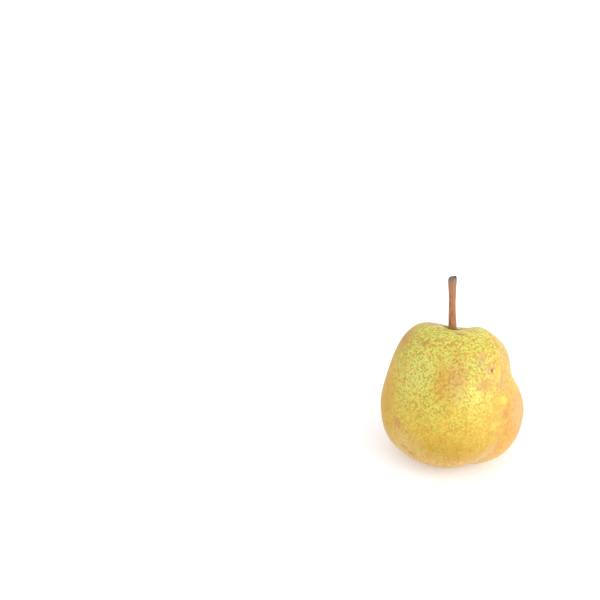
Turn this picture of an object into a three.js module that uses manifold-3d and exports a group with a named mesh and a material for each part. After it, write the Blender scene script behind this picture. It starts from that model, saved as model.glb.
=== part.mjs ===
// A squat russet pear standing on its base, with its stem and its dried calyx.
// Millimetres, +Z up. The side that faces the viewer is -Y, and the top leans away from it.

import * as THREE from 'three';
import { mergeVertices } from 'three/addons/utils/BufferGeometryUtils.js';
import Module from 'manifold-3d';

// Driving dimensions of the fruit

const neckHeight = 70; // along the fruit's own bent axis, from the base to the shoulder
const backTilt = THREE.MathUtils.degToRad(22); // how far the top has bent towards +Y
const sideLean = -3; // how far the top has grown over towards -X
const flatSpot = 0.5; // how much the fruit is worn flat where it rests
const partGap = 0.3; // between the fruit and the pieces that stand in it

// Half of the fruit's outline, as radius and height, in growing order from the stem down
const stemCavity = [[0, 65], [3, 65.4], [5, 68.7], [8, 70.6]];
const shoulder = [[12.5, 71.2], [19.4, 69], [25.8, 62.8], [30, 54.8]];
const flank = [[33.2, 47], [36.3, 39.5], [38.6, 32], [39.2, 25], [37.9, 16.8]];
const underside = [[34.2, 9.4], [27.2, 4], [18.4, 0.3], [12.4, 0.6]];
const calyxBasin = [[8.2, 3], [4.6, 5.2], [0, 5.8]];

const outlineSteps = 46;
const roundSteps = 72;

// The shoulder is uneven: waves round the axis lift it, each with its height and facing angle
const shoulderWaves = [
  { count: 1, height: 1.2, facing: -126 },
  { count: 2, height: 1, facing: 0 },
];

// Five soft lobes run round the base
const baseLobes = { count: 5, depth: 0.7, facing: -108, height: 4, spread: 15 };

// Hollows in the side, a negative depth being a swelling. Angles are in degrees from +X
const hollows = [
  { facing: 6, height: 46, depth: 1.4, wide: 34, tall: 6.5 }, // waist on the right
  { facing: 0, height: 62, depth: -1.9, wide: 50, tall: 10 }, // right shoulder
  { facing: 190, height: 51, depth: -1.6, wide: 52, tall: 12 }, // left flank
  { facing: -64, height: 4, depth: 1.2, wide: 10, tall: 8 }, // notch between two lobes
  { facing: -42, height: 5, depth: 1.1, wide: 34, tall: 8 }, // flattened right of the notch
  { facing: -145, height: 8, depth: -1.4, wide: 36, tall: 9 }, // full lower left
];

// Driving dimensions of the stem and the calyx

const stemLength = 33.5; // from the cavity's floor to the broken tip
const stemFoot = 4.6; // how deep the stem stands in the fruit
const stemHoleRadius = 2.65;
const stemBack = 20; // degrees towards +Y
const stemSide = -4; // degrees towards -X
const stemBow = 0.3;
const stemTipSlant = 0.12; // the tip snapped off at a slope

const calyxRadius = 2.8;
const calyxFace = 4.4; // height of the dried disc's lower face
const calyxTop = 7.6;
const sepalCount = 5;
const sepalLength = 5.2;
const sepalWidth = 2.6;
const sepalThickness = 0.7;
const sepalDroop = 24; // degrees below level

const wasm = await Module();
wasm.setup();

// Solids in and out of the boolean library

function solidOf(geometry) {
  const bare = geometry.clone();
  bare.deleteAttribute('normal');
  bare.deleteAttribute('uv');
  const merged = mergeVertices(bare, 1e-3);
  const corners = merged.index.array;
  const kept = [];
  for (let i = 0; i < corners.length; i += 3) {
    const [a, b, c] = corners.subarray(i, i + 3);
    if (a !== b && b !== c && c !== a) kept.push(a, b, c);
  }
  return new wasm.Manifold(new wasm.Mesh({
    numProp: 3,
    vertProperties: new Float32Array(merged.attributes.position.array),
    triVerts: new Uint32Array(kept),
  }));
}

function geometryOf(solid) {
  const mesh = solid.getMesh();
  const geometry = new THREE.BufferGeometry();
  geometry.setAttribute('position', new THREE.BufferAttribute(mesh.vertProperties, 3));
  geometry.setIndex(new THREE.BufferAttribute(mesh.triVerts, 1));
  geometry.computeVertexNormals();
  return geometry;
}

// Shared shape helpers

function smoothOutline(points, steps) {
  const spline = new THREE.SplineCurve(points.map(([radius, height]) => new THREE.Vector2(radius, height)));
  const outline = spline.getPoints(steps);
  outline[0].x = 0;
  outline[steps].x = 0;
  return outline;
}

// A turned solid about Z. The outline runs from the bottom of the axis to its top
function turned(outline, steps) {
  return new THREE.LatheGeometry(outline, steps).rotateX(Math.PI / 2);
}

function moveVertices(geometry, move) {
  const positions = geometry.attributes.position;
  const vertex = new THREE.Vector3();
  for (let i = 0; i < positions.count; i += 1) {
    vertex.fromBufferAttribute(positions, i);
    move(vertex);
    positions.setXYZ(i, vertex.x, vertex.y, vertex.z);
  }
  return geometry;
}

function bell(distance, spread) {
  return Math.exp(-((distance / spread) ** 2));
}

function degreesBetween(a, b) {
  return THREE.MathUtils.euclideanModulo(a - b + 180, 360) - 180;
}

function wave(count, angle, facing) {
  return Math.cos(count * THREE.MathUtils.degToRad(angle - facing));
}

// The fruit's axis bends evenly from upright at the base to the full tilt at the neck
function bendAxis(point) {
  const bendRadius = neckHeight / backTilt;
  const turn = point.z / bendRadius;
  const { y, z } = point;
  point.x += sideLean * (z / neckHeight) ** 2;
  point.y = bendRadius * (1 - Math.cos(turn)) + y * Math.cos(turn);
  point.z = (bendRadius - y) * Math.sin(turn);
  return point;
}

// The fruit

function growUneven(point) {
  const radius = Math.hypot(point.x, point.y);
  const height = point.z;
  const angle = THREE.MathUtils.radToDeg(Math.atan2(point.y, point.x));
  const lobes = baseLobes.depth * wave(baseLobes.count, angle, baseLobes.facing)
    * bell(height - baseLobes.height, baseLobes.spread);
  let newRadius = radius + lobes * THREE.MathUtils.smoothstep(radius, 4, 16);
  for (const { facing, height: middle, depth, wide, tall } of hollows) {
    newRadius -= depth * bell(degreesBetween(angle, facing), wide) * bell(height - middle, tall)
      * THREE.MathUtils.smoothstep(radius, 6, 18);
  }
  let lift = 0;
  for (const { count, height: rise, facing } of shoulderWaves) {
    lift += rise * wave(count, angle, facing);
  }
  lift *= THREE.MathUtils.smoothstep(height, neckHeight - 26, neckHeight - 3);
  lift *= THREE.MathUtils.smoothstep(radius, 3, 9);
  if (radius > 0) {
    point.x *= newRadius / radius;
    point.y *= newRadius / radius;
  }
  point.z = height + lift;
  bendAxis(point);
}

function wholeFruit() {
  const points = [...stemCavity, ...shoulder, ...flank, ...underside, ...calyxBasin];
  const outline = smoothOutline(points, outlineSteps).reverse();
  return solidOf(moveVertices(turned(outline, roundSteps), growUneven));
}

// A plain round hole, standing on its floor, before it is placed
function holeCutter(radius, depth, reach) {
  return new THREE.CylinderGeometry(radius, radius, depth + reach, 32)
    .rotateX(Math.PI / 2)
    .translate(0, 0, (reach - depth) / 2);
}

function groundCutter() {
  return new THREE.BoxGeometry(120, 120, 20).translate(0, 0, flatSpot - 10);
}

// The stem, turned along its own axis from the cavity's floor

const stemOutline = [
  [0, -stemFoot], [1.9, -stemFoot + 0.1], [2.2, -2], [2.35, 2.5], [2.1, 8], [1.8, 15], [1.78, 21],
  [2, 27], [2.3, 31.5], [2.05, stemLength - 0.3], [0, stemLength],
];

const stemPlace = new THREE.Matrix4();
{
  const floor = bendAxis(new THREE.Vector3(0, 0, stemCavity[0][1]));
  const back = Math.tan(THREE.MathUtils.degToRad(stemBack));
  const side = Math.tan(THREE.MathUtils.degToRad(stemSide));
  const direction = new THREE.Vector3(side, back, 1).normalize();
  const turn = new THREE.Quaternion().setFromUnitVectors(new THREE.Vector3(0, 0, 1), direction);
  stemPlace.compose(floor, turn, new THREE.Vector3(1, 1, 1));
}

function stemGeometry() {
  const stem = turned(smoothOutline(stemOutline, 30), 24);
  return moveVertices(stem, (point) => {
    const along = THREE.MathUtils.clamp(point.z / stemLength, 0, 1);
    point.z -= stemTipSlant * point.x * THREE.MathUtils.smoothstep(along, 0.85, 1);
    point.x += stemBow * Math.sin(Math.PI * along);
  });
}

// The calyx: a dried disc with its sepals grown to it

function sepalShape() {
  const half = sepalWidth / 2;
  const leaf = new THREE.Shape();
  leaf.moveTo(0, -half);
  leaf.lineTo(sepalLength * 0.45, -half * 0.85);
  leaf.lineTo(sepalLength * 0.8, -half * 0.45);
  leaf.lineTo(sepalLength, 0);
  leaf.lineTo(sepalLength * 0.8, half * 0.45);
  leaf.lineTo(sepalLength * 0.45, half * 0.85);
  leaf.lineTo(0, half);
  leaf.closePath();
  return leaf;
}

function calyxGeometry() {
  const thick = calyxTop - calyxFace;
  const disc = new THREE.CylinderGeometry(calyxRadius, calyxRadius, thick, 32)
    .rotateX(Math.PI / 2)
    .translate(0, 0, calyxFace + thick / 2);
  let calyx = solidOf(disc);
  for (let i = 0; i < sepalCount; i += 1) {
    const droop = THREE.MathUtils.degToRad(sepalDroop * (1 + 0.15 * Math.cos(2 * i)));
    const sepal = new THREE.ExtrudeGeometry(sepalShape(), { depth: sepalThickness, bevelEnabled: false })
      .rotateY(droop)
      .translate(0.6, 0, calyxFace)
      .rotateZ((2 * Math.PI * i) / sepalCount);
    calyx = calyx.add(solidOf(sepal));
  }
  return geometryOf(calyx);
}

function fruitGeometry() {
  const stemHole = holeCutter(stemHoleRadius, stemFoot + partGap, 2).applyMatrix4(stemPlace);
  const calyxHole = holeCutter(calyxRadius + partGap, calyxTop, calyxTop + partGap);
  return geometryOf(
    wholeFruit()
      .subtract(solidOf(groundCutter()))
      .subtract(solidOf(stemHole))
      .subtract(solidOf(calyxHole)),
  );
}

// The pear, put together

const skin = new THREE.MeshStandardMaterial({ color: '#c9b155', roughness: 0.5, metalness: 0 });
const bark = new THREE.MeshStandardMaterial({ color: '#a5693f', roughness: 0.8, metalness: 0 });
const driedHusk = new THREE.MeshStandardMaterial({ color: '#5a442e', roughness: 0.9, metalness: 0 });

const fruit = new THREE.Mesh(fruitGeometry(), skin);
fruit.name = 'pear_body';

const stem = new THREE.Mesh(stemGeometry(), bark);
stem.name = 'stem';
stem.applyMatrix4(stemPlace);

const calyx = new THREE.Mesh(calyxGeometry(), driedHusk);
calyx.name = 'calyx';

const pear = new THREE.Group();
pear.add(fruit, stem, calyx);

// The origin is under the middle of the whole pear, on the surface that it stands on
pear.updateMatrixWorld(true);
const reach = new THREE.Box3().setFromObject(pear, true);
const middle = reach.getCenter(new THREE.Vector3());
pear.position.set(-middle.x, -middle.y, -reach.min.z);

export default pear;
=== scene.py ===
import math

import bmesh
import bpy
from mathutils import Euler, Matrix, Vector, noise
from mathutils.geometry import interpolate_bezier


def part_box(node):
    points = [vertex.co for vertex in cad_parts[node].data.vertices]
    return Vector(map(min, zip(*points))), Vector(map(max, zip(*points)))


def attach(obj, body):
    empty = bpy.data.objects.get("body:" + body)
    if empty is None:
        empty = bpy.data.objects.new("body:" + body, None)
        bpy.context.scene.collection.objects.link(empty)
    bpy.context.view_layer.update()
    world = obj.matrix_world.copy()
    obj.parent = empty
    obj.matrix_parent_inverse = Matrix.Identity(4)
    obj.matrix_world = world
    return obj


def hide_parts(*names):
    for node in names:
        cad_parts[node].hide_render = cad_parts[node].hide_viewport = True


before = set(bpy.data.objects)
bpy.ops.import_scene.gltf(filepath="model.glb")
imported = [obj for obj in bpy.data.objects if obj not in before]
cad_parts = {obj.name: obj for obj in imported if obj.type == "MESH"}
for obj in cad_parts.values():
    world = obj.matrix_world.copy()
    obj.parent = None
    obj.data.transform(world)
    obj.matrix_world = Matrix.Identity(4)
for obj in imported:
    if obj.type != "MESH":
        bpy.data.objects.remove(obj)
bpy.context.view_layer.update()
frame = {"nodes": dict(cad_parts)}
mm = 0.001  # shapes are drawn in millimetres and brought to metres when they are placed
noiseLow, noiseHigh = 0.3, 0.7  # a noise texture seldom leaves these
print("frame loaded:", ", ".join(frame["nodes"]))


# small helpers

def linear(hexColour):
    channels = [int(hexColour[i:i + 2], 16) / 255 for i in (1, 3, 5)]
    curved = [c / 12.92 if c <= 0.04045 else ((c + 0.055) / 1.055) ** 2.4 for c in channels]
    return (*curved, 1.0)


def smoothStep(value, low, high):
    t = min(max((value - low) / (high - low), 0.0), 1.0)
    return t * t * (3 - 2 * t)


def bell(distance, spread):
    return math.exp(-((distance / spread) ** 2))


def wave(count, angle, facing):
    return math.cos(count * math.radians(angle - facing))


def degreesBetween(a, b):
    return (a - b + 180) % 360 - 180


def addNode(tree, kind, inputs=None, **settings):
    # inputs go by name or number: Map Range takes its value in 0, its limits in 1 and 2 and what they give
    # in 3 and 4, and a colour Mix takes its share in 0 and its colours in 6 and 7
    node = tree.nodes.new("ShaderNode" + kind)
    for name, value in settings.items():
        setattr(node, name, value)
    for socket, value in (inputs or {}).items():
        if isinstance(value, bpy.types.Node):  # a node stands for its first output in use
            value = next(output for output in value.outputs if output.enabled)
        if isinstance(value, bpy.types.NodeSocket):
            tree.links.new(value, node.inputs[socket])
        else:
            node.inputs[socket].default_value = value
    return node


def newMaterial(name):
    material = bpy.data.materials.new(name)
    material.use_nodes = True
    material.node_tree.nodes.clear()
    return material, material.node_tree


def smoothCurve(points, steps):
    # a smooth line through the points: each stretch takes its direction from its neighbours
    knots = [Vector((radius, 0, height)) for radius, height in points]
    ends = [knots[0], *knots, knots[-1]]
    curve = [knots[0]]
    for i in range(len(knots) - 1):
        before, start, end, after = ends[i:i + 4]
        leave, arrive = start + (end - before) / 6, end - (after - start) / 6
        curve += interpolate_bezier(start, leave, arrive, end, steps + 1)[1:]
    for point in curve:
        point.x = max(point.x, 0.0)
    return curve


def turnedShape(line, around):
    # spins the line round the axis, and closes it where it meets the axis
    shape = bmesh.new()
    verts = [shape.verts.new(point) for point in line]
    edges = [shape.edges.new(pair) for pair in zip(verts, verts[1:])]
    bmesh.ops.spin(shape, geom=verts + edges, axis=(0, 0, 1), cent=(0, 0, 0),
                   steps=around, angle=2 * math.pi, use_merge=True)
    bmesh.ops.remove_doubles(shape, verts=shape.verts, dist=0.0005)
    bmesh.ops.recalc_face_normals(shape, faces=shape.faces)
    return shape


def placeInBox(shape, node):
    # brings the shape to metres and into the box that the node holds
    low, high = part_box(node)
    ownLow = Vector([min(v.co[i] for v in shape.verts) for i in range(3)])
    ownHigh = Vector([max(v.co[i] for v in shape.verts) for i in range(3)])
    scale = [(high[i] - low[i]) / (ownHigh[i] - ownLow[i]) for i in range(3)]
    for vert in shape.verts:
        vert.co = [low[i] + (vert.co[i] - ownLow[i]) * scale[i] for i in range(3)]
    print(f"  {node}: drawn size times", " ".join(f"{s / mm:.4f}" for s in scale))


def makePiece(name, shape, material, node):
    placeInBox(shape, node)
    mesh = bpy.data.meshes.new(name)
    shape.to_mesh(mesh)
    shape.free()
    mesh.shade_smooth()
    mesh.materials.append(material)
    piece = bpy.data.objects.new(name, mesh)
    bpy.context.scene.collection.objects.link(piece)
    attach(piece, "root")
    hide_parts(node)
    print(f"{name}: {len(mesh.polygons)} faces")


# the camera stands where the photograph was taken from

photoView = {
    "elevation": 32.0,             # degrees above the table
    "distance": 0.694,             # from the middle of the fruit
    "lens": 75.0,
    "sensor": 36.0,
    "clip": (0.01, 50.0),
    "imageSide": 600,
    "fruitPixel": (453.4, 392.2),  # where the middle of the fruit is in the image
    "fruitMiddle": (0.5 * mm, 0.2 * mm, 34.1 * mm),
}


def makeCamera(v):
    data = bpy.data.cameras.new("photoCamera")
    data.lens, data.sensor_width = v["lens"], v["sensor"]
    data.clip_start, data.clip_end = v["clip"]
    camera = bpy.data.objects.new("photoCamera", data)
    bpy.context.scene.collection.objects.link(camera)
    # how far the fruit is off the picture's middle, as slopes, turns and tips the level camera
    half = v["imageSide"] / 2
    focal = v["lens"] / v["sensor"] * v["imageSide"]
    across = (v["fruitPixel"][0] - half) / focal
    up = (half - v["fruitPixel"][1]) / focal
    elevation = math.radians(v["elevation"])
    reach = math.sqrt(across ** 2 + up ** 2 + 1)
    tip = math.atan(up) + math.asin(reach * math.sin(elevation) / math.sqrt(1 + up ** 2))
    turn = math.atan2(across, up * math.sin(tip) + math.cos(tip))
    away = Vector((0, -math.cos(elevation), math.sin(elevation)))
    camera.location = Vector(v["fruitMiddle"]) + away * v["distance"]
    camera.rotation_euler = Euler((math.pi / 2 - tip, 0, turn), "XYZ")
    bpy.context.scene.camera = camera


makeCamera(photoView)
print("camera placed")


# the fruit, grown from half of its outline, in millimetres and degrees

pearShape = {
    "neckHeight": 70.0,   # along the bent axis
    "backTilt": 22.0,     # degrees that the top has bent back
    "sideLean": -3.0,     # how far the top has grown over to the left
    "flatSpot": 0.5,      # worn flat where it rests
    "socket": [(0, 60.1), (2.5, 60.1), (2.62, 60.5), (2.62, 64.2), (2.5, 65.1), (2.9, 65.5)],
    "cavity": [(3.7, 66.4), (5, 68.7), (8, 70.6)],
    "shoulder": [(12.5, 71.2), (19.4, 69), (25.8, 62.8), (30, 54.8)],
    "flank": [(33.2, 47), (36.3, 39.5), (38.6, 32), (39.2, 25), (37.9, 16.8)],
    "underside": [(34.2, 9.4), (27.2, 4), (18.4, 0.3), (12.4, 0.6)],
    "basin": [(8.2, 3), (4.6, 5.2), (3.4, 5.6), (3.05, 6), (3.0, 7.7), (2.8, 7.9), (0, 7.9)],
    "steps": 8,           # rings between two points of the outline
    "around": 256,
    # waves that lift the shoulder: how many round the axis, height, facing in degrees from +X
    "shoulderWaves": [(1, 1.2, -126), (2, 1.0, 0)],
    "wavesUp": (44, 67),  # they come in between these heights
    "wavesOut": (3, 9),   # and between these distances from the axis
    # soft lobes round the base: how many, depth, facing, height, spread
    "baseLobes": (5, 0.7, -108, 4, 15),
    "lobesOut": (4, 16),
    # hollows in the side, a negative depth being a swelling: facing, height, depth, wide, tall
    "hollows": [
        (6, 46, 1.4, 34, 6.5),     # waist on the right
        (0, 62, -1.9, 50, 10),     # right shoulder
        (190, 51, -1.6, 52, 12),   # left flank
        (-64, 4, 1.2, 10, 8),      # notch between two lobes
        (-42, 5, 1.1, 34, 8),      # flattened right of the notch
        (-145, 8, -1.4, 36, 9),    # full lower left
        (-91, 51, 1.1, 11, 12),    # shallow valley down the front
        (-70, 44, -0.5, 14, 11),   # bulge on its right
        (-126, 51, -0.5, 13, 14),  # ridge on its left
    ],
    "hollowsOut": (6, 18),
    # crease that climbs from the notch, turning by so many degrees for each mm of height
    "crease": {
        "facing": -74.0, "turn": 1.16, "depth": 1.4, "wide": 4.4,
        "starts": (2, 9), "fades": (14, 27), "out": (12, 24),
    },
    # the lip round the stem is lower at the front and higher behind: facing, rise, wide, distance, spread
    "lips": [
        (-80, -1.05, 32, 8, 5.5),
        (100, 1.2, 55, 7.5, 4.5),
        (30, -1.2, 42, 8.5, 3.5),
        (0, 0.6, 40, 14, 4),
        (175, -0.6, 35, 10, 4),
    ],
    "lipsUp": (62, 67),
    # shallow unevenness of the skin: size across and height
    "swells": [(11.0, 0.16), (4.5, 0.05), (1.7, 0.014)],
    "swellsOut": (3.2, 7),  # the holes for the stem and the calyx stay true
}


def bendAxis(point, p):
    # upright at the base, at the full tilt by the neck
    bendRadius = p["neckHeight"] / math.radians(p["backTilt"])
    turn = point.z / bendRadius
    return Vector((
        point.x + p["sideLean"] * (point.z / p["neckHeight"]) ** 2,
        bendRadius * (1 - math.cos(turn)) + point.y * math.cos(turn),
        (bendRadius - point.y) * math.sin(turn),
    ))


def creaseAt(angle, height, c):
    # 1 in the middle of the crease, 0 away from it
    off = degreesBetween(angle, c["facing"] + c["turn"] * height)
    return bell(off, c["wide"]) * smoothStep(height, *c["starts"]) * (1 - smoothStep(height, *c["fades"]))


def growUneven(point, p):
    radius, height = math.hypot(point.x, point.y), point.z
    angle = math.degrees(math.atan2(point.y, point.x))
    count, depth, facing, middle, spread = p["baseLobes"]
    lobes = depth * wave(count, angle, facing) * bell(height - middle, spread)
    newRadius = radius + lobes * smoothStep(radius, *p["lobesOut"])
    for facing, middle, depth, wide, tall in p["hollows"]:
        dip = depth * bell(degreesBetween(angle, facing), wide) * bell(height - middle, tall)
        newRadius -= dip * smoothStep(radius, *p["hollowsOut"])
    crease = p["crease"]
    newRadius -= crease["depth"] * creaseAt(angle, height, crease) * smoothStep(radius, *crease["out"])
    lift = sum(rise * wave(count, angle, facing) for count, rise, facing in p["shoulderWaves"])
    lift *= smoothStep(height, *p["wavesUp"]) * smoothStep(radius, *p["wavesOut"])
    onTop = smoothStep(height, *p["lipsUp"])
    for facing, rise, wide, middle, spread in p["lips"]:
        lift += rise * bell(degreesBetween(angle, facing), wide) * bell(radius - middle, spread) * onTop
    swell = newRadius / radius if radius > 0 else 1.0
    return bendAxis(Vector((point.x * swell, point.y * swell, height + lift)), p)


def pearBody(p):
    outline = p["socket"] + p["cavity"] + p["shoulder"] + p["flank"] + p["underside"] + p["basin"]
    shape = turnedShape(smoothCurve(outline, p["steps"]), p["around"])
    creased = shape.verts.layers.float.new("crease")  # the skin's painted highlight along the crease follows it
    exposed = {v: smoothStep(v.co.xy.length, *p["swellsOut"]) for v in shape.verts}
    for vert in shape.verts:
        angle = math.degrees(math.atan2(vert.co.y, vert.co.x))
        vert[creased] = creaseAt(angle, vert.co.z, p["crease"])
        vert.co = growUneven(vert.co, p)
    shape.normal_update()
    moves = []
    for vert in shape.verts:
        rise = sum(height * noise.noise(vert.co / size) for size, height in p["swells"])
        moves.append(vert.normal * rise * exposed[vert])
    for vert, move in zip(shape.verts, moves):
        vert.co += move
        vert.co.z = max(vert.co.z, p["flatSpot"])
    return shape


# the stem, turned and then made woody

stemShape = {
    "length": 33.5,            # from the cavity's floor to the broken tip
    "back": 20.0,              # degrees that it leans
    "side": -4.0,
    "bow": -0.1,
    "outline": [(0, -4.6), (1.9, -4.5), (2.2, -2), (2.35, 2.5), (2.2, 7), (1.97, 13), (1.84, 19),
                (1.92, 23.5), (2.15, 28), (2.35, 30.6), (2.4, 31.8), (2.3, 32.7), (1.85, 33.3),
                (1.35, 33.0), (0.8, 32.5), (0, 32.4)],  # ends in a shallow cup
    "steps": 8,
    "around": 72,
    "barkUp": (0, 5),          # smooth in the fruit, woody above it
    "ribs": 9,                 # shallow, all along it
    "ribHeight": 0.07,
    "ribWander": (1.5, 9.0),   # radians, in so many mm along it
    "lumpHeight": 0.10,
    "lumpSize": (2.2, 5.0),    # across and along
    "tipUp": (31.9, 33.1),     # where the broken end begins and where it is whole
    "tipSmooth": 0.6,          # share of the ribs that is lost there
    "tipBreak": 0.45,          # unevenness of the broken end
    "tipGrain": 0.7,
    "tipSeed": 7.3,            # any other number breaks it otherwise
    "tipSlope": (0.3, 0.36),   # it is lower on the left and at the front
}


def stemTurn(s):
    # from upright to the way that the stem leans
    side, back = (math.tan(math.radians(s[way])) for way in ("side", "back"))
    return Vector((0, 0, 1)).rotation_difference(Vector((side, back, 1)).normalized())


def pearStem(s):
    shape = turnedShape(smoothCurve(s["outline"], s["steps"]), s["around"])
    shape.normal_update()
    wander, wanderLength = s["ribWander"]
    lumpWide, lumpLong = s["lumpSize"]
    slopeX, slopeY = s["tipSlope"]
    moves = []
    for vert in shape.verts:
        x, y, z = vert.co
        along = min(max(z / s["length"], 0), 1)
        sway = wander * noise.noise((x, y, z / wanderLength))
        ribs = s["ribHeight"] * math.sin(s["ribs"] * math.atan2(y, x) + sway)
        lumps = s["lumpHeight"] * noise.noise((x / lumpWide, y / lumpWide, z / lumpLong))
        tip = smoothStep(z, *s["tipUp"])
        crumble = s["tipBreak"] * noise.noise((x * s["tipGrain"], y * s["tipGrain"], s["tipSeed"]))
        bark = smoothStep(z, *s["barkUp"]) * (1 - s["tipSmooth"] * tip)
        move = vert.normal * (ribs + lumps) * bark
        move.z += (crumble + x * slopeX + y * slopeY) * tip
        move.x += s["bow"] * math.sin(math.pi * along)
        moves.append(move)
    for vert, move in zip(shape.verts, moves):
        vert.co += move
    bmesh.ops.rotate(shape, verts=shape.verts, cent=(0, 0, 0), matrix=stemTurn(s).to_matrix())
    return shape


# the dried calyx in the basin beneath

calyxShape = {
    "cup": [(0, 7.6), (2.6, 7.6), (2.8, 7.3), (2.8, 5.0), (2.55, 4.5), (2.0, 4.5), (1.5, 5.0),
            (1.0, 5.9), (0, 6.1)],
    "cupSteps": 5,
    "cupAround": 48,
    "sepals": 5,
    "sepalGrid": (14, 8),
    "sepalRoot": (1.9, 0, 4.7),      # on the cup's rim
    "sepalLength": 4.4,
    "sepalWidth": 2.7,
    "sepalTaper": (2.2, 0.8),        # how late and how bluntly it narrows
    "sepalTip": 0.06,                # half of the width that is left at the tip
    "sepalThick": 0.35,
    "droop": (36.0, 0.15),           # degrees, and the share by which it varies
    "channel": (0.5, 0.3),           # how far the edges roll up, and what of it the root has
    "turnedOut": 0.5,                # how far the tips curl away from the fruit
    "wrinkles": 0.2,
    "wrinkleCount": (4.0, 3.0),      # along and across
    "stamens": 11,
    "stamenFoot": (0.9, 0, 5.3),
    "stamenLean": (18.0, 9.0),       # degrees, and by how many it varies
    "stamenScatter": 0.4,            # radians
    "stamenRadii": (0.11, 0.17),
    "stamenSides": 6,
    "stamenLength": 2.2,
}


def pearCalyx(c):
    shape = turnedShape(smoothCurve(c["cup"], c["cupSteps"]), c["cupAround"])
    gridLong, gridWide = c["sepalGrid"]
    late, blunt = c["sepalTaper"]
    roll, rootRoll = c["channel"]
    wrinklesLong, wrinklesWide = c["wrinkleCount"]
    for i in range(c["sepals"]):  # no two alike
        droop = math.radians(c["droop"][0] * (1 + c["droop"][1] * math.cos(2 * i)))
        turnedOut = c["turnedOut"] * (1 + math.sin(1.7 * i + 0.6))
        sepal = bmesh.new()
        bmesh.ops.create_grid(sepal, x_segments=gridLong, y_segments=gridWide, size=0.5)
        for vert in sepal.verts:
            t, u = vert.co.x + 0.5, vert.co.y * 2  # along the sepal and across it
            half = c["sepalWidth"] / 2 * (1 - t ** late) ** blunt + c["sepalTip"]
            curl = roll * u * u * (rootRoll + t) - turnedOut * t ** 3
            wrinkle = c["wrinkles"] * noise.noise((wrinklesLong * t + i, wrinklesWide * u, 1.5 * i))
            vert.co = (t * c["sepalLength"], u * half, curl + wrinkle)
        bmesh.ops.solidify(sepal, geom=sepal.faces[:], thickness=c["sepalThick"])
        bmesh.ops.recalc_face_normals(sepal, faces=sepal.faces)
        place = Matrix.Rotation(2 * math.pi * i / c["sepals"], 4, "Z")
        place @= Matrix.Translation(c["sepalRoot"]) @ Matrix.Rotation(droop, 4, "Y")
        bmesh.ops.transform(sepal, matrix=place, verts=sepal.verts)
        mesh = bpy.data.meshes.new("sepal")
        sepal.to_mesh(mesh)
        sepal.free()
        shape.from_mesh(mesh)
        bpy.data.meshes.remove(mesh)
    for i in range(c["stamens"]):  # withered, standing in the cup
        angle = 2 * math.pi * i / c["stamens"] + c["stamenScatter"] * math.sin(5 * i)
        lean = math.radians(c["stamenLean"][0] + c["stamenLean"][1] * math.sin(3 * i))
        place = Matrix.Rotation(angle, 4, "Z") @ Matrix.Translation(c["stamenFoot"])
        place @= Matrix.Rotation(lean, 4, "Y")
        foot, head = c["stamenRadii"]
        bmesh.ops.create_cone(shape, cap_ends=True, segments=c["stamenSides"], radius1=foot, radius2=head,
                              depth=c["stamenLength"], matrix=place)
    return shape


# materials

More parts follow.
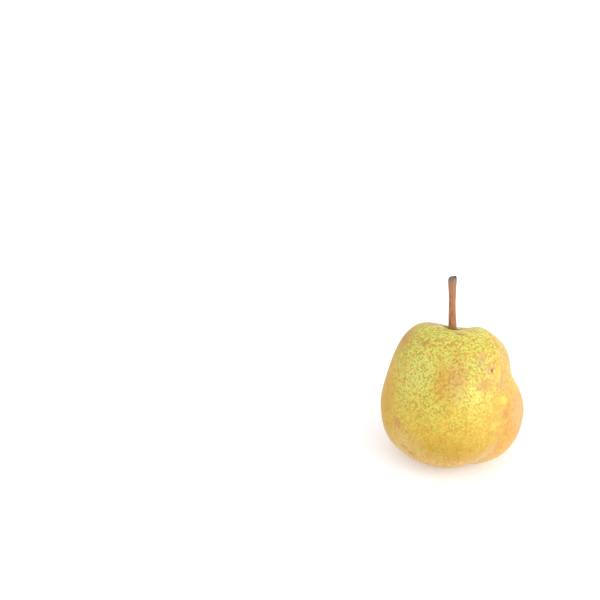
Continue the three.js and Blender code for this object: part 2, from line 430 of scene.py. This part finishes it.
skinLook = {
    "limeGround": "#cbce5e",
    "yellowGround": "#dcc44c",
    "goldRusset": "#c6971e",       # net and smooth russet of the left side and the base
    "peachRusset": "#d29f4e",      # and of the sunny right side
    "tableLitRusset": "#d8b47a",       # beneath, paler with painted light thrown up from the table
    "rustRusset": "#c4822e",       # rusty clouds in them
    "darkRusset": "#b4822e",       # mottles in them
    # a pale line along the crease: a painted highlight
    "creaseHighlight": "#d8ba8a",
    "oliveFleck": "#a0872a",
    "orangeFleck": "#be782c",
    "pore": "#8c742c",
    "waxyRoughness": 0.38,         # of the ground
    "corkyRoughness": 0.56,        # of the russet
    "fleckSize": 1.25,             # mm
    "fleckCrook": 1.0,             # mm that the strokes are bent about
    "fleckLimits": (0.49, 0.41),   # where the strokes are few and where they crowd
    "fleckEdge": 0.15,
    "fleckGrain": (4.0, 0.58),     # detail and roughness, which fray the strokes
    "fleckShares": (0.76, 0.52),   # at the shoulder and at the right of the base
    "fleckFades": (-62, -30),      # mm down to the right between those two
    "poreSpacing": 2.7,            # mm, coarser than the real ones so that they show
    "poreStir": 1.7,               # mm that they stand out of line
    "poreRadii": (0.26, 0.1),      # soft edge, in shares of the spacing
    "poreShares": (0.4, 0.1),      # among the flecks and in the russet
    "netRadii": (0.3, 0.8),
    "netShare": 0.3,
    "cloakDrift": 17.0,            # mm that the limits of the smooth russet wander
    "cloakFray": 16.0,             # mm that they are frayed
    "closing": (0.36, 0.58),       # the russet is closed in its rusty clouds
    "thinnest": 0.8,               # and covers this share between them
    "spotFray": 1.3,               # share of its size by which a spot is frayed
    "tintCore": 0.6,               # a tint fades from here, and a mark from nearer its edge
    "markCore": 1.0,
    "downRight": (0.5, 0, -1),
    "ripening": 0.006,             # for each mm down to the right
    "reliefHeight": 0.05,          # mm that the flecks stand up and the pores sink
    "grainShare": 0.35,            # of that height
    # soft blots behind the patterns: size in mm, detail, roughness
    "blots": {
        "drift": (12, 6.0, 0.62), "ground": (8, 6.0, 0.75), "crowd": (5, 3.0, 0.5),
        "rust": (4, 4.0, 0.65), "fray": (2.2, 5.0, 0.7), "stir": (1.6, 2.0, 0.5),
        "crook": (0.9, 2.0, 0.5), "grain": (0.25, 2.0, 0.5),
    },
    # how the layers come in: where each starts, where it is full, and its full share
    "ramps": {
        "yellow": (0.06, 0.32, 1.0),    # ripeness
        "sunny": (-10, 24, 1.0),        # mm to the right
        "rusty": (0.38, 0.6, 0.3),
        "mottled": (0.42, 0.68, 0.45),
        "beneath": (22, 11, 0.85),      # mm of height, where painted light from the table falls
        # painted highlight along the crease
        "creased": (0.1, 0.9, 0.62),
        "orange": (0.38, 0.6, 1.0),     # flecks in the rusty clouds
    },
    # where the russet closes up: direction, mm along it to its start and full cover, share, flecks lost
    "cloaks": [
        ((1, -0.2, -0.35), 1, 27, 0.95, 0.75),   # right of the crease
        ((0, 0, -1), -48, -13, 0.88, 0.15),      # base
        ((-1, 0, 0), 22, 41, 0.85, 0.4),         # left
        ((-1, 0.35, 0.25), 34, 50, 0.75, 0.3),   # upper left rim
    ],
    # soft tints under the flecks: colour, share, place and half size in mm, flecks lost; some of them
    # paint light and shade
    "tints": [
        ("#cea26e", 0.55, (26, 0, 60), (10, 17, 13), 0.3),        # peach right shoulder, with a painted sheen along its rim
        ("#dcb084", 0.5, (36, -13, 33), (8, 19, 19), 0.3),        # painted sheen on the right edge
        ("#e0da6c", 0.75, (9.6, -28, 51), (17, 12, 13), 0.2),     # painted highlight on the bulge
        ("#d2d674", 0.65, (-19, -20, 56), (13, 15, 21), 0.1),     # painted sheen on the ridge at the left
        ("#d19e68", 0.75, (25, -13, 53), (11, 13, 13), 0.5),      # peach beside the waist
        ("#d8c47c", 0.6, (-23, -32, 19), (18, 17, 14), 0.1),      # painted light thrown up from the table on the lower left
        ("#b4942c", 0.5, (-2, -36, 21), (24, 14, 11), 0.0),       # ochre russet of the base, deepened with painted shade
        ("#c08a38", 0.6, (-4.5, -25, 56), (9, 18, 22), 0.0),      # ochre side of the valley: russet, with painted shade on the side turned from the light
        ("#d29a62", 0.7, (2.5, -25, 58), (9, 18, 18), 0.1),       # and its pinkish side
        ("#cc9210", 0.5, (-36, -14, 37), (9, 17, 19), 0.0),       # painted shade and painted reflected colour on the left edge
        ("#b0703a", 0.55, (-27, 3, 64), (12, 16, 14), 0.2),       # brown upper left rim
        ("#b98f68", 0.85, (-12.5, 8, 72.5), (12, 10, 6), 0.7),    # tan rim beside the stem
        ("#a8763a", 0.65, (0, -1, 3), (15, 15, 9), 0.2),          # russet round the calyx
        ("#b87e50", 0.7, (16, -23, 54), (7.5, 7, 6), 0.4),        # russet patch under the blemish
        ("#cb9a70", 0.7, (18.4, -16, 60), (4.2, 5, 4.2), 0.7),    # pink halo round it
        ("#b98a62", 0.65, (14.4, -14.8, 65), (4, 6, 8), 0.5),     # rubbed streak above it
    ],
    # single marks over the flecks: colour, share, place and half size in mm
    "marks": [
        ("#b0724a", 0.5, (-28.3, -26.6, 29.5), (4, 5, 3.6)),       # rubbed reddish places
        ("#b8804c", 0.4, (28.3, -23.9, 37.4), (4, 5, 3.6)),
        ("#564c3a", 0.85, (-2.4, 13.2, 64.5), (9, 6.5, 6)),        # russet and painted shade down in the hollow round the stem
        ("#7a3a22", 0.8, (19.8, -15.5, 58.9), (1.25, 1.8, 1.35)),  # blemish
        ("#d8c842", 0.65, (23.8, -13.2, 56), (1.5, 5, 7)),         # clean streak beside it
        ("#d4c258", 0.5, (33, -1, 43), (3.4, 9, 5.5)),             # clean spots in the russet
        ("#d4cc58", 0.6, (27.1, -20, 44.2), (3.4, 4, 3)),
        ("#d2c458", 0.45, (23.4, -30, 35), (4.4, 4, 3)),
        ("#b06a50", 0.5, (-23.5, -30, 16.4), (3, 3.4, 1.8)),       # scars low on the left
        ("#b06a50", 0.5, (-19.8, -32.4, 14.2), (3, 3.4, 1.7)),
        ("#9a6436", 0.6, (1.8, -5.2, 74.0), (4.2, 1.6, 2)),        # scar in front of the stem
        ("#d6d870", 0.5, (7.8, -3.4, 73.2), (4.5, 1.2, 1.8)),      # lime streak beside it
        ("#a0643a", 0.45, (-8.3, -10.4, 72.4), (3.8, 2, 2.2)),     # scars on the left shoulder
        ("#a0643a", 0.45, (-16.2, -10.3, 69.8), (4.4, 2.2, 2.4)),
    ],
}


def pearSkin(k):
    # ripe pear skin, thin and waxy: a lime and yellow ground under fine corky flecks that run together,
    # closing up into smooth gold and peach russet where the sun and the wind rubbed it
    material, tree = newMaterial("pear skin, waxy with russet")
    coords = addNode(tree, "TexCoord")
    place = addNode(tree, "Mapping", {0: coords.outputs["Object"], "Scale": (1 / mm, 1 / mm, 1 / mm)})
    blots = {}
    for name, (size, detail, roughness) in k["blots"].items():
        blots[name] = addNode(tree, "TexNoise", {
            "Vector": place, "Scale": 1 / size, "Detail": detail, "Roughness": roughness,
        })

    def pushed(by, reach):  # moves a pattern about, up to half the reach in mm
        way = addNode(tree, "VectorMath", {0: by.outputs["Color"], 1: (-0.5, -0.5, -0.5)}, operation="ADD")
        return addNode(tree, "VectorMath", {0: way, 1: (reach, reach, reach), 2: place},
                       operation="MULTIPLY_ADD")

    def spot(share, at, size, core):  # soft, with a frayed edge
        away = addNode(tree, "VectorMath", {0: place, 1: at}, operation="SUBTRACT")
        scaled = addNode(tree, "VectorMath", {0: away, 1: size}, operation="DIVIDE")
        reach = addNode(tree, "VectorMath", {0: scaled}, operation="LENGTH")
        frayed = addNode(tree, "Math", {0: blots["fray"], 1: k["spotFray"], 2: reach.outputs["Value"]},
                         operation="MULTIPLY_ADD")
        return addNode(tree, "MapRange", {0: frayed, 1: 1 + k["spotFray"] / 2, 2: core, 4: share},
                       interpolation_type="SMOOTHSTEP")

    # where smooth russet cloaks the skin, and where it or a tint quiets the flecks
    ragged = pushed(blots["drift"], k["cloakDrift"])
    middle = k["cloakFray"] / 2
    cloak = hush = 0.0
    under, quiet = [], []
    for direction, start, full, share, lost in k["cloaks"]:
        towards = addNode(tree, "VectorMath", {0: ragged, 1: direction}, operation="DOT_PRODUCT")
        frayed = addNode(tree, "Math", {0: blots["fray"], 1: k["cloakFray"], 2: towards.outputs["Value"]},
                         operation="MULTIPLY_ADD")
        side = addNode(tree, "MapRange", {0: frayed, 1: start + middle, 2: full + middle, 4: share},
                       interpolation_type="SMOOTHSTEP")
        cloak = addNode(tree, "Math", {0: cloak, 1: side}, operation="MAXIMUM")
        quiet.append((side, lost))
    for tint, share, at, size, lost in k["tints"]:
        soft = spot(share, at, size, k["tintCore"])
        under.append((soft, linear(tint)))
        quiet.append((soft, lost))
    for mask, lost in quiet:
        fewer = addNode(tree, "Math", {0: mask, 1: lost}, operation="MULTIPLY")
        hush = addNode(tree, "Math", {0: hush, 1: fewer}, operation="MAXIMUM")

    # pores, and a faint gold net between them
    pores = addNode(tree, "TexVoronoi", {
        "Vector": pushed(blots["stir"], k["poreStir"]), "Scale": 1 / k["poreSpacing"],
    })
    (rim, heart), (among, within) = k["poreRadii"], k["poreShares"]
    poreShare = addNode(tree, "MapRange", {0: hush, 3: among, 4: within})
    poreMask = addNode(tree, "MapRange", {0: pores, 1: rim, 2: heart, 4: poreShare},
                       interpolation_type="SMOOTHSTEP")
    start, full = k["netRadii"]
    net = addNode(tree, "MapRange", {0: pores, 1: start, 2: full, 4: k["netShare"]},
                  interpolation_type="SMOOTHSTEP")
    start, full = k["closing"]
    thick = addNode(tree, "MapRange", {0: blots["rust"], 1: start, 2: full, 3: k["thinnest"], 4: 1.0})
    cover = addNode(tree, "MapRange", {0: cloak, 3: net, 4: thick})

    # flecks: short crooked strokes that run together, closer in places and fainter down the right side
    detail, roughness = k["fleckGrain"]
    strokes = addNode(tree, "TexNoise", {
        "Vector": pushed(blots["crook"], k["fleckCrook"]), "Scale": 1 / k["fleckSize"],
        "Detail": detail, "Roughness": roughness,
    })
    few, crowded = k["fleckLimits"]
    outer = addNode(tree, "MapRange", {0: blots["crowd"], 1: noiseLow, 2: noiseHigh, 3: few, 4: crowded})
    inner = addNode(tree, "Math", {0: outer, 1: k["fleckEdge"]}, operation="ADD")
    downRight = addNode(tree, "VectorMath", {0: place, 1: k["downRight"]}, operation="DOT_PRODUCT")
    (start, full), (strong, faint) = k["fleckFades"], k["fleckShares"]
    fleckShare = addNode(tree, "MapRange", {
        0: downRight.outputs["Value"], 1: start, 2: full, 3: strong, 4: faint,
    })
    fleckLeft = addNode(tree, "MapRange", {0: hush, 3: fleckShare, 4: 0.0})
    fleckMask = addNode(tree, "MapRange", {0: strokes, 1: outer, 2: inner, 4: fleckLeft},
                        interpolation_type="SMOOTHSTEP")

    # the ground goes from lime at the shoulder to yellow, the russet from gold to peach, and paler beneath
    # with painted light from the table
    spread = addNode(tree, "SeparateXYZ", {0: ragged})
    riper = addNode(tree, "Math", {0: downRight.outputs["Value"], 1: k["ripening"], 2: blots["ground"]},
                    operation="MULTIPLY_ADD")
    crease = addNode(tree, "Attribute", attribute_name="crease")
    followed = {
        "yellow": riper, "sunny": spread.outputs["X"], "rusty": blots["rust"], "mottled": blots["fray"],
        "beneath": spread.outputs["Z"], "creased": crease.outputs["Fac"], "orange": blots["rust"],
    }
    ramps = {}
    for name, (start, full, share) in k["ramps"].items():
        ramps[name] = addNode(tree, "MapRange", {0: followed[name], 1: start, 2: full, 4: share})
    russet = linear(k["goldRusset"])
    for name, tint in (("sunny", "peachRusset"), ("rusty", "rustRusset"), ("mottled", "darkRusset"),
                       ("beneath", "tableLitRusset")):
        russet = addNode(tree, "Mix", {0: ramps[name], 6: russet, 7: linear(k[tint])}, data_type="RGBA")
    olive, orange = linear(k["oliveFleck"]), linear(k["orangeFleck"])
    fleck = addNode(tree, "Mix", {0: ramps["orange"], 6: olive, 7: orange}, data_type="RGBA")

    # all the layers, from the ground up
    over = [(spot(share, at, size, k["markCore"]), linear(tint)) for tint, share, at, size in k["marks"]]
    layers = [
        (ramps["yellow"], linear(k["yellowGround"])), (cover, russet), *under,
        (ramps["creased"], linear(k["creaseHighlight"])), (fleckMask, fleck),
        (poreMask, linear(k["pore"])), *over,
    ]
    colour = linear(k["limeGround"])
    for mask, tint in layers:
        colour = addNode(tree, "Mix", {0: mask, 6: colour, 7: tint}, data_type="RGBA")
    rough = addNode(tree, "MapRange", {0: cover, 3: k["waxyRoughness"], 4: k["corkyRoughness"]})
    raised = addNode(tree, "Math", {0: blots["grain"], 1: k["grainShare"], 2: fleckMask},
                     operation="MULTIPLY_ADD")
    relief = addNode(tree, "Math", {0: raised, 1: poreMask}, operation="SUBTRACT")
    bump = addNode(tree, "Bump", {"Height": relief, "Strength": 0.4, "Distance": k["reliefHeight"] * mm})
    skin = addNode(tree, "BsdfPrincipled", {
        "Base Color": colour, "Roughness": rough, "Normal": bump, "IOR": 1.42, "Specular IOR Level": 0.4,
    })
    addNode(tree, "OutputMaterial", {"Surface": skin})
    return material


barkLook = {
    "dark": "#8a4c32",
    "light": "#bf865a",
    "speck": "#c79c78",
    "scar": "#8c8c8e",            # grey, weathered wood of the broken end
    # bands round the stem: colour, mm past the tip where it starts and where it is full, share
    "bands": [
        ("#8f7a42", -22.5, -26.5, 0.85),  # olive foot
        ("#4e402a", -25.9, -27.5, 0.9),   # painted shade where the stem goes down into the hollow
        ("#8c6c52", -4.6, -0.4, 0.8),     # dull head
        ("#5a4640", 0.4, 1.5, 0.95),      # dark rim
    ],
    "bandFray": (1.4, 4.0),       # mm across the stem and along it
    "tipInset": (2.3, 2.1, 0.8),  # mm from the sides of the stem's box to the middle of the tip
    "streakWidth": 0.6,           # mm, coarser than the real fibres so that they show
    "streakStretch": 0.13,        # drawn out along the stem
    "speckSpacing": 1.3,
    "speckRadii": (0.26, 0.14),   # soft edge, in shares of the spacing
    "speckShare": 0.55,
    "scarRadii": (1.35, 0.95),
    "scarDepths": (-2.0, -1.2),
    "scarShare": 0.85,
    "reliefHeight": 0.12,         # mm between the streaks
}


def stemBark(s, k):
    # dry woody stalk: reddish brown bark with fine lengthwise streaks and pale specks, dull, olive at the
    # foot with painted shade below it in the hollow, and dark round the grey broken end
    material, tree = newMaterial("pear stem, dry bark")
    coords = addNode(tree, "TexCoord")
    low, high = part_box("stem")
    inset = [side * mm for side in k["tipInset"]]
    tip = low.x + inset[0], high.y - inset[1], high.z - inset[2]
    along = addNode(tree, "Mapping", {
        0: coords.outputs["Object"], "Location": tip, "Rotation": stemTurn(s).to_euler(),
        "Scale": (mm, mm, mm),
    }, vector_type="TEXTURE")  # millimetres along the stem, nothing at the tip
    drawnOut = addNode(tree, "Mapping", {0: along, "Scale": (1, 1, k["streakStretch"])})
    streaks = addNode(tree, "TexNoise", {"Vector": drawnOut, "Scale": 1 / k["streakWidth"], "Detail": 4.0})
    streakMask = addNode(tree, "MapRange", {0: streaks, 1: noiseLow, 2: noiseHigh})
    specks = addNode(tree, "TexVoronoi", {"Vector": along, "Scale": 1 / k["speckSpacing"]})
    rim, heart = k["speckRadii"]
    speckMask = addNode(tree, "MapRange", {0: specks, 1: rim, 2: heart, 4: k["speckShare"]})
    layers = [(speckMask, k["speck"])]

    split = addNode(tree, "SeparateXYZ", {0: along})
    across, lengthwise = k["bandFray"]
    ragged = addNode(tree, "TexNoise", {"Vector": along, "Scale": 1 / across, "Detail": 3.0})
    height = addNode(tree, "Math", {0: ragged, 1: lengthwise, 2: split.outputs["Z"]},
                     operation="MULTIPLY_ADD")
    for tint, start, full, share in k["bands"]:
        band = addNode(tree, "MapRange", {0: height, 1: start, 2: full, 4: share})
        layers.append((band, tint))

    # the scar fills the middle of the end
    start, full = k["scarDepths"]
    atEnd = addNode(tree, "MapRange", {0: split.outputs["Z"], 1: start, 2: full, 4: k["scarShare"]})
    flat = addNode(tree, "VectorMath", {0: along, 1: (1, 1, 0)}, operation="MULTIPLY")
    off = addNode(tree, "VectorMath", {0: flat}, operation="LENGTH")
    start, full = k["scarRadii"]
    scarMask = addNode(tree, "MapRange", {0: off.outputs["Value"], 1: start, 2: full, 4: atEnd})
    layers.append((scarMask, k["scar"]))

    dark, light = linear(k["dark"]), linear(k["light"])
    colour = addNode(tree, "Mix", {0: streakMask, 6: dark, 7: light}, data_type="RGBA")
    for mask, tint in layers:
        colour = addNode(tree, "Mix", {0: mask, 6: colour, 7: linear(tint)}, data_type="RGBA")
    bump = addNode(tree, "Bump", {"Height": streaks, "Strength": 0.6, "Distance": k["reliefHeight"] * mm})
    wood = addNode(tree, "BsdfPrincipled", {
        "Base Color": colour, "Roughness": 0.7, "Normal": bump, "IOR": 1.5,
    })
    addNode(tree, "OutputMaterial", {"Surface": wood})
    return material


sepalLook = {
    "dark": "#3a2a1e",
    "pale": "#9a7c5c",
    "mottleSize": 0.8,           # mm
    "mottleLimits": (0.34, 0.7),
    "reliefHeight": 0.15,        # mm
}


def driedSepal(k):
    # dried flower remains: dark papery brown, dull, paler where it has frayed
    material, tree = newMaterial("pear calyx, dried and papery")
    coords = addNode(tree, "TexCoord")
    mottle = addNode(tree, "TexNoise", {
        "Vector": coords.outputs["Object"], "Scale": 1 / (k["mottleSize"] * mm), "Detail": 4.0,
    })
    start, full = k["mottleLimits"]
    frayed = addNode(tree, "MapRange", {0: mottle, 1: start, 2: full})
    dark, pale = linear(k["dark"]), linear(k["pale"])
    colour = addNode(tree, "Mix", {0: frayed, 6: dark, 7: pale}, data_type="RGBA")
    bump = addNode(tree, "Bump", {"Height": mottle, "Strength": 0.7, "Distance": k["reliefHeight"] * mm})
    husk = addNode(tree, "BsdfPrincipled", {
        "Base Color": colour, "Roughness": 0.85, "Normal": bump, "IOR": 1.5,
    })
    addNode(tree, "OutputMaterial", {"Surface": husk})
    return material


makePiece("pearBody", pearBody(pearShape), pearSkin(skinLook), "pear_body")
makePiece("pearStem", pearStem(stemShape), stemBark(stemShape, barkLook), "stem")
makePiece("pearCalyx", pearCalyx(calyxShape), driedSepal(sepalLook), "calyx")


# the stage: a plain pale floor under soft studio light

studio = {
    "floorSize": 8.0,
    "floorColour": "#e4e4e6",
    "floorGlow": 0.34,  # a light table, lit from beneath to wash out the shadows
    "skyColour": "#fbfcff",
    "skyStrength": 1.12,
    # broad window light: degrees from +X, degrees above the table, strength, width in degrees
    "window": (-20, 22, 1.6, 60),
}


def makeStage(s):
    shape = bmesh.new()
    bmesh.ops.create_grid(shape, x_segments=1, y_segments=1, size=s["floorSize"] / 2)
    mesh = bpy.data.meshes.new("floor")
    shape.to_mesh(mesh)
    shape.free()
    material, tree = newMaterial("matte white table top")
    paint = addNode(tree, "BsdfPrincipled", {
        "Base Color": linear(s["floorColour"]), "Roughness": 0.9,
        "Emission Color": linear(s["floorColour"]), "Emission Strength": s["floorGlow"],
    })
    addNode(tree, "OutputMaterial", {"Surface": paint})
    mesh.materials.append(material)
    floor = bpy.data.objects.new("floor", mesh)
    bpy.context.scene.collection.objects.link(floor)

    world = bpy.data.worlds.new("studio")
    world.use_nodes = True
    world.node_tree.nodes.clear()
    sky = addNode(world.node_tree, "Background", {
        "Color": linear(s["skyColour"]), "Strength": s["skyStrength"],
    })
    addNode(world.node_tree, "OutputWorld", {"Surface": sky})
    bpy.context.scene.world = world

    facing, rise, strength, width = s["window"]
    data = bpy.data.lights.new("windowLight", "SUN")
    data.energy, data.angle = strength, math.radians(width)
    window = bpy.data.objects.new("windowLight", data)
    window.rotation_euler = Euler((0, math.radians(90 - rise), math.radians(facing)), "XYZ")
    bpy.context.scene.collection.objects.link(window)
    bpy.context.scene.view_settings.view_transform = "Standard"
    bpy.context.scene.view_settings.look = "None"


makeStage(studio)
print("stage lit")
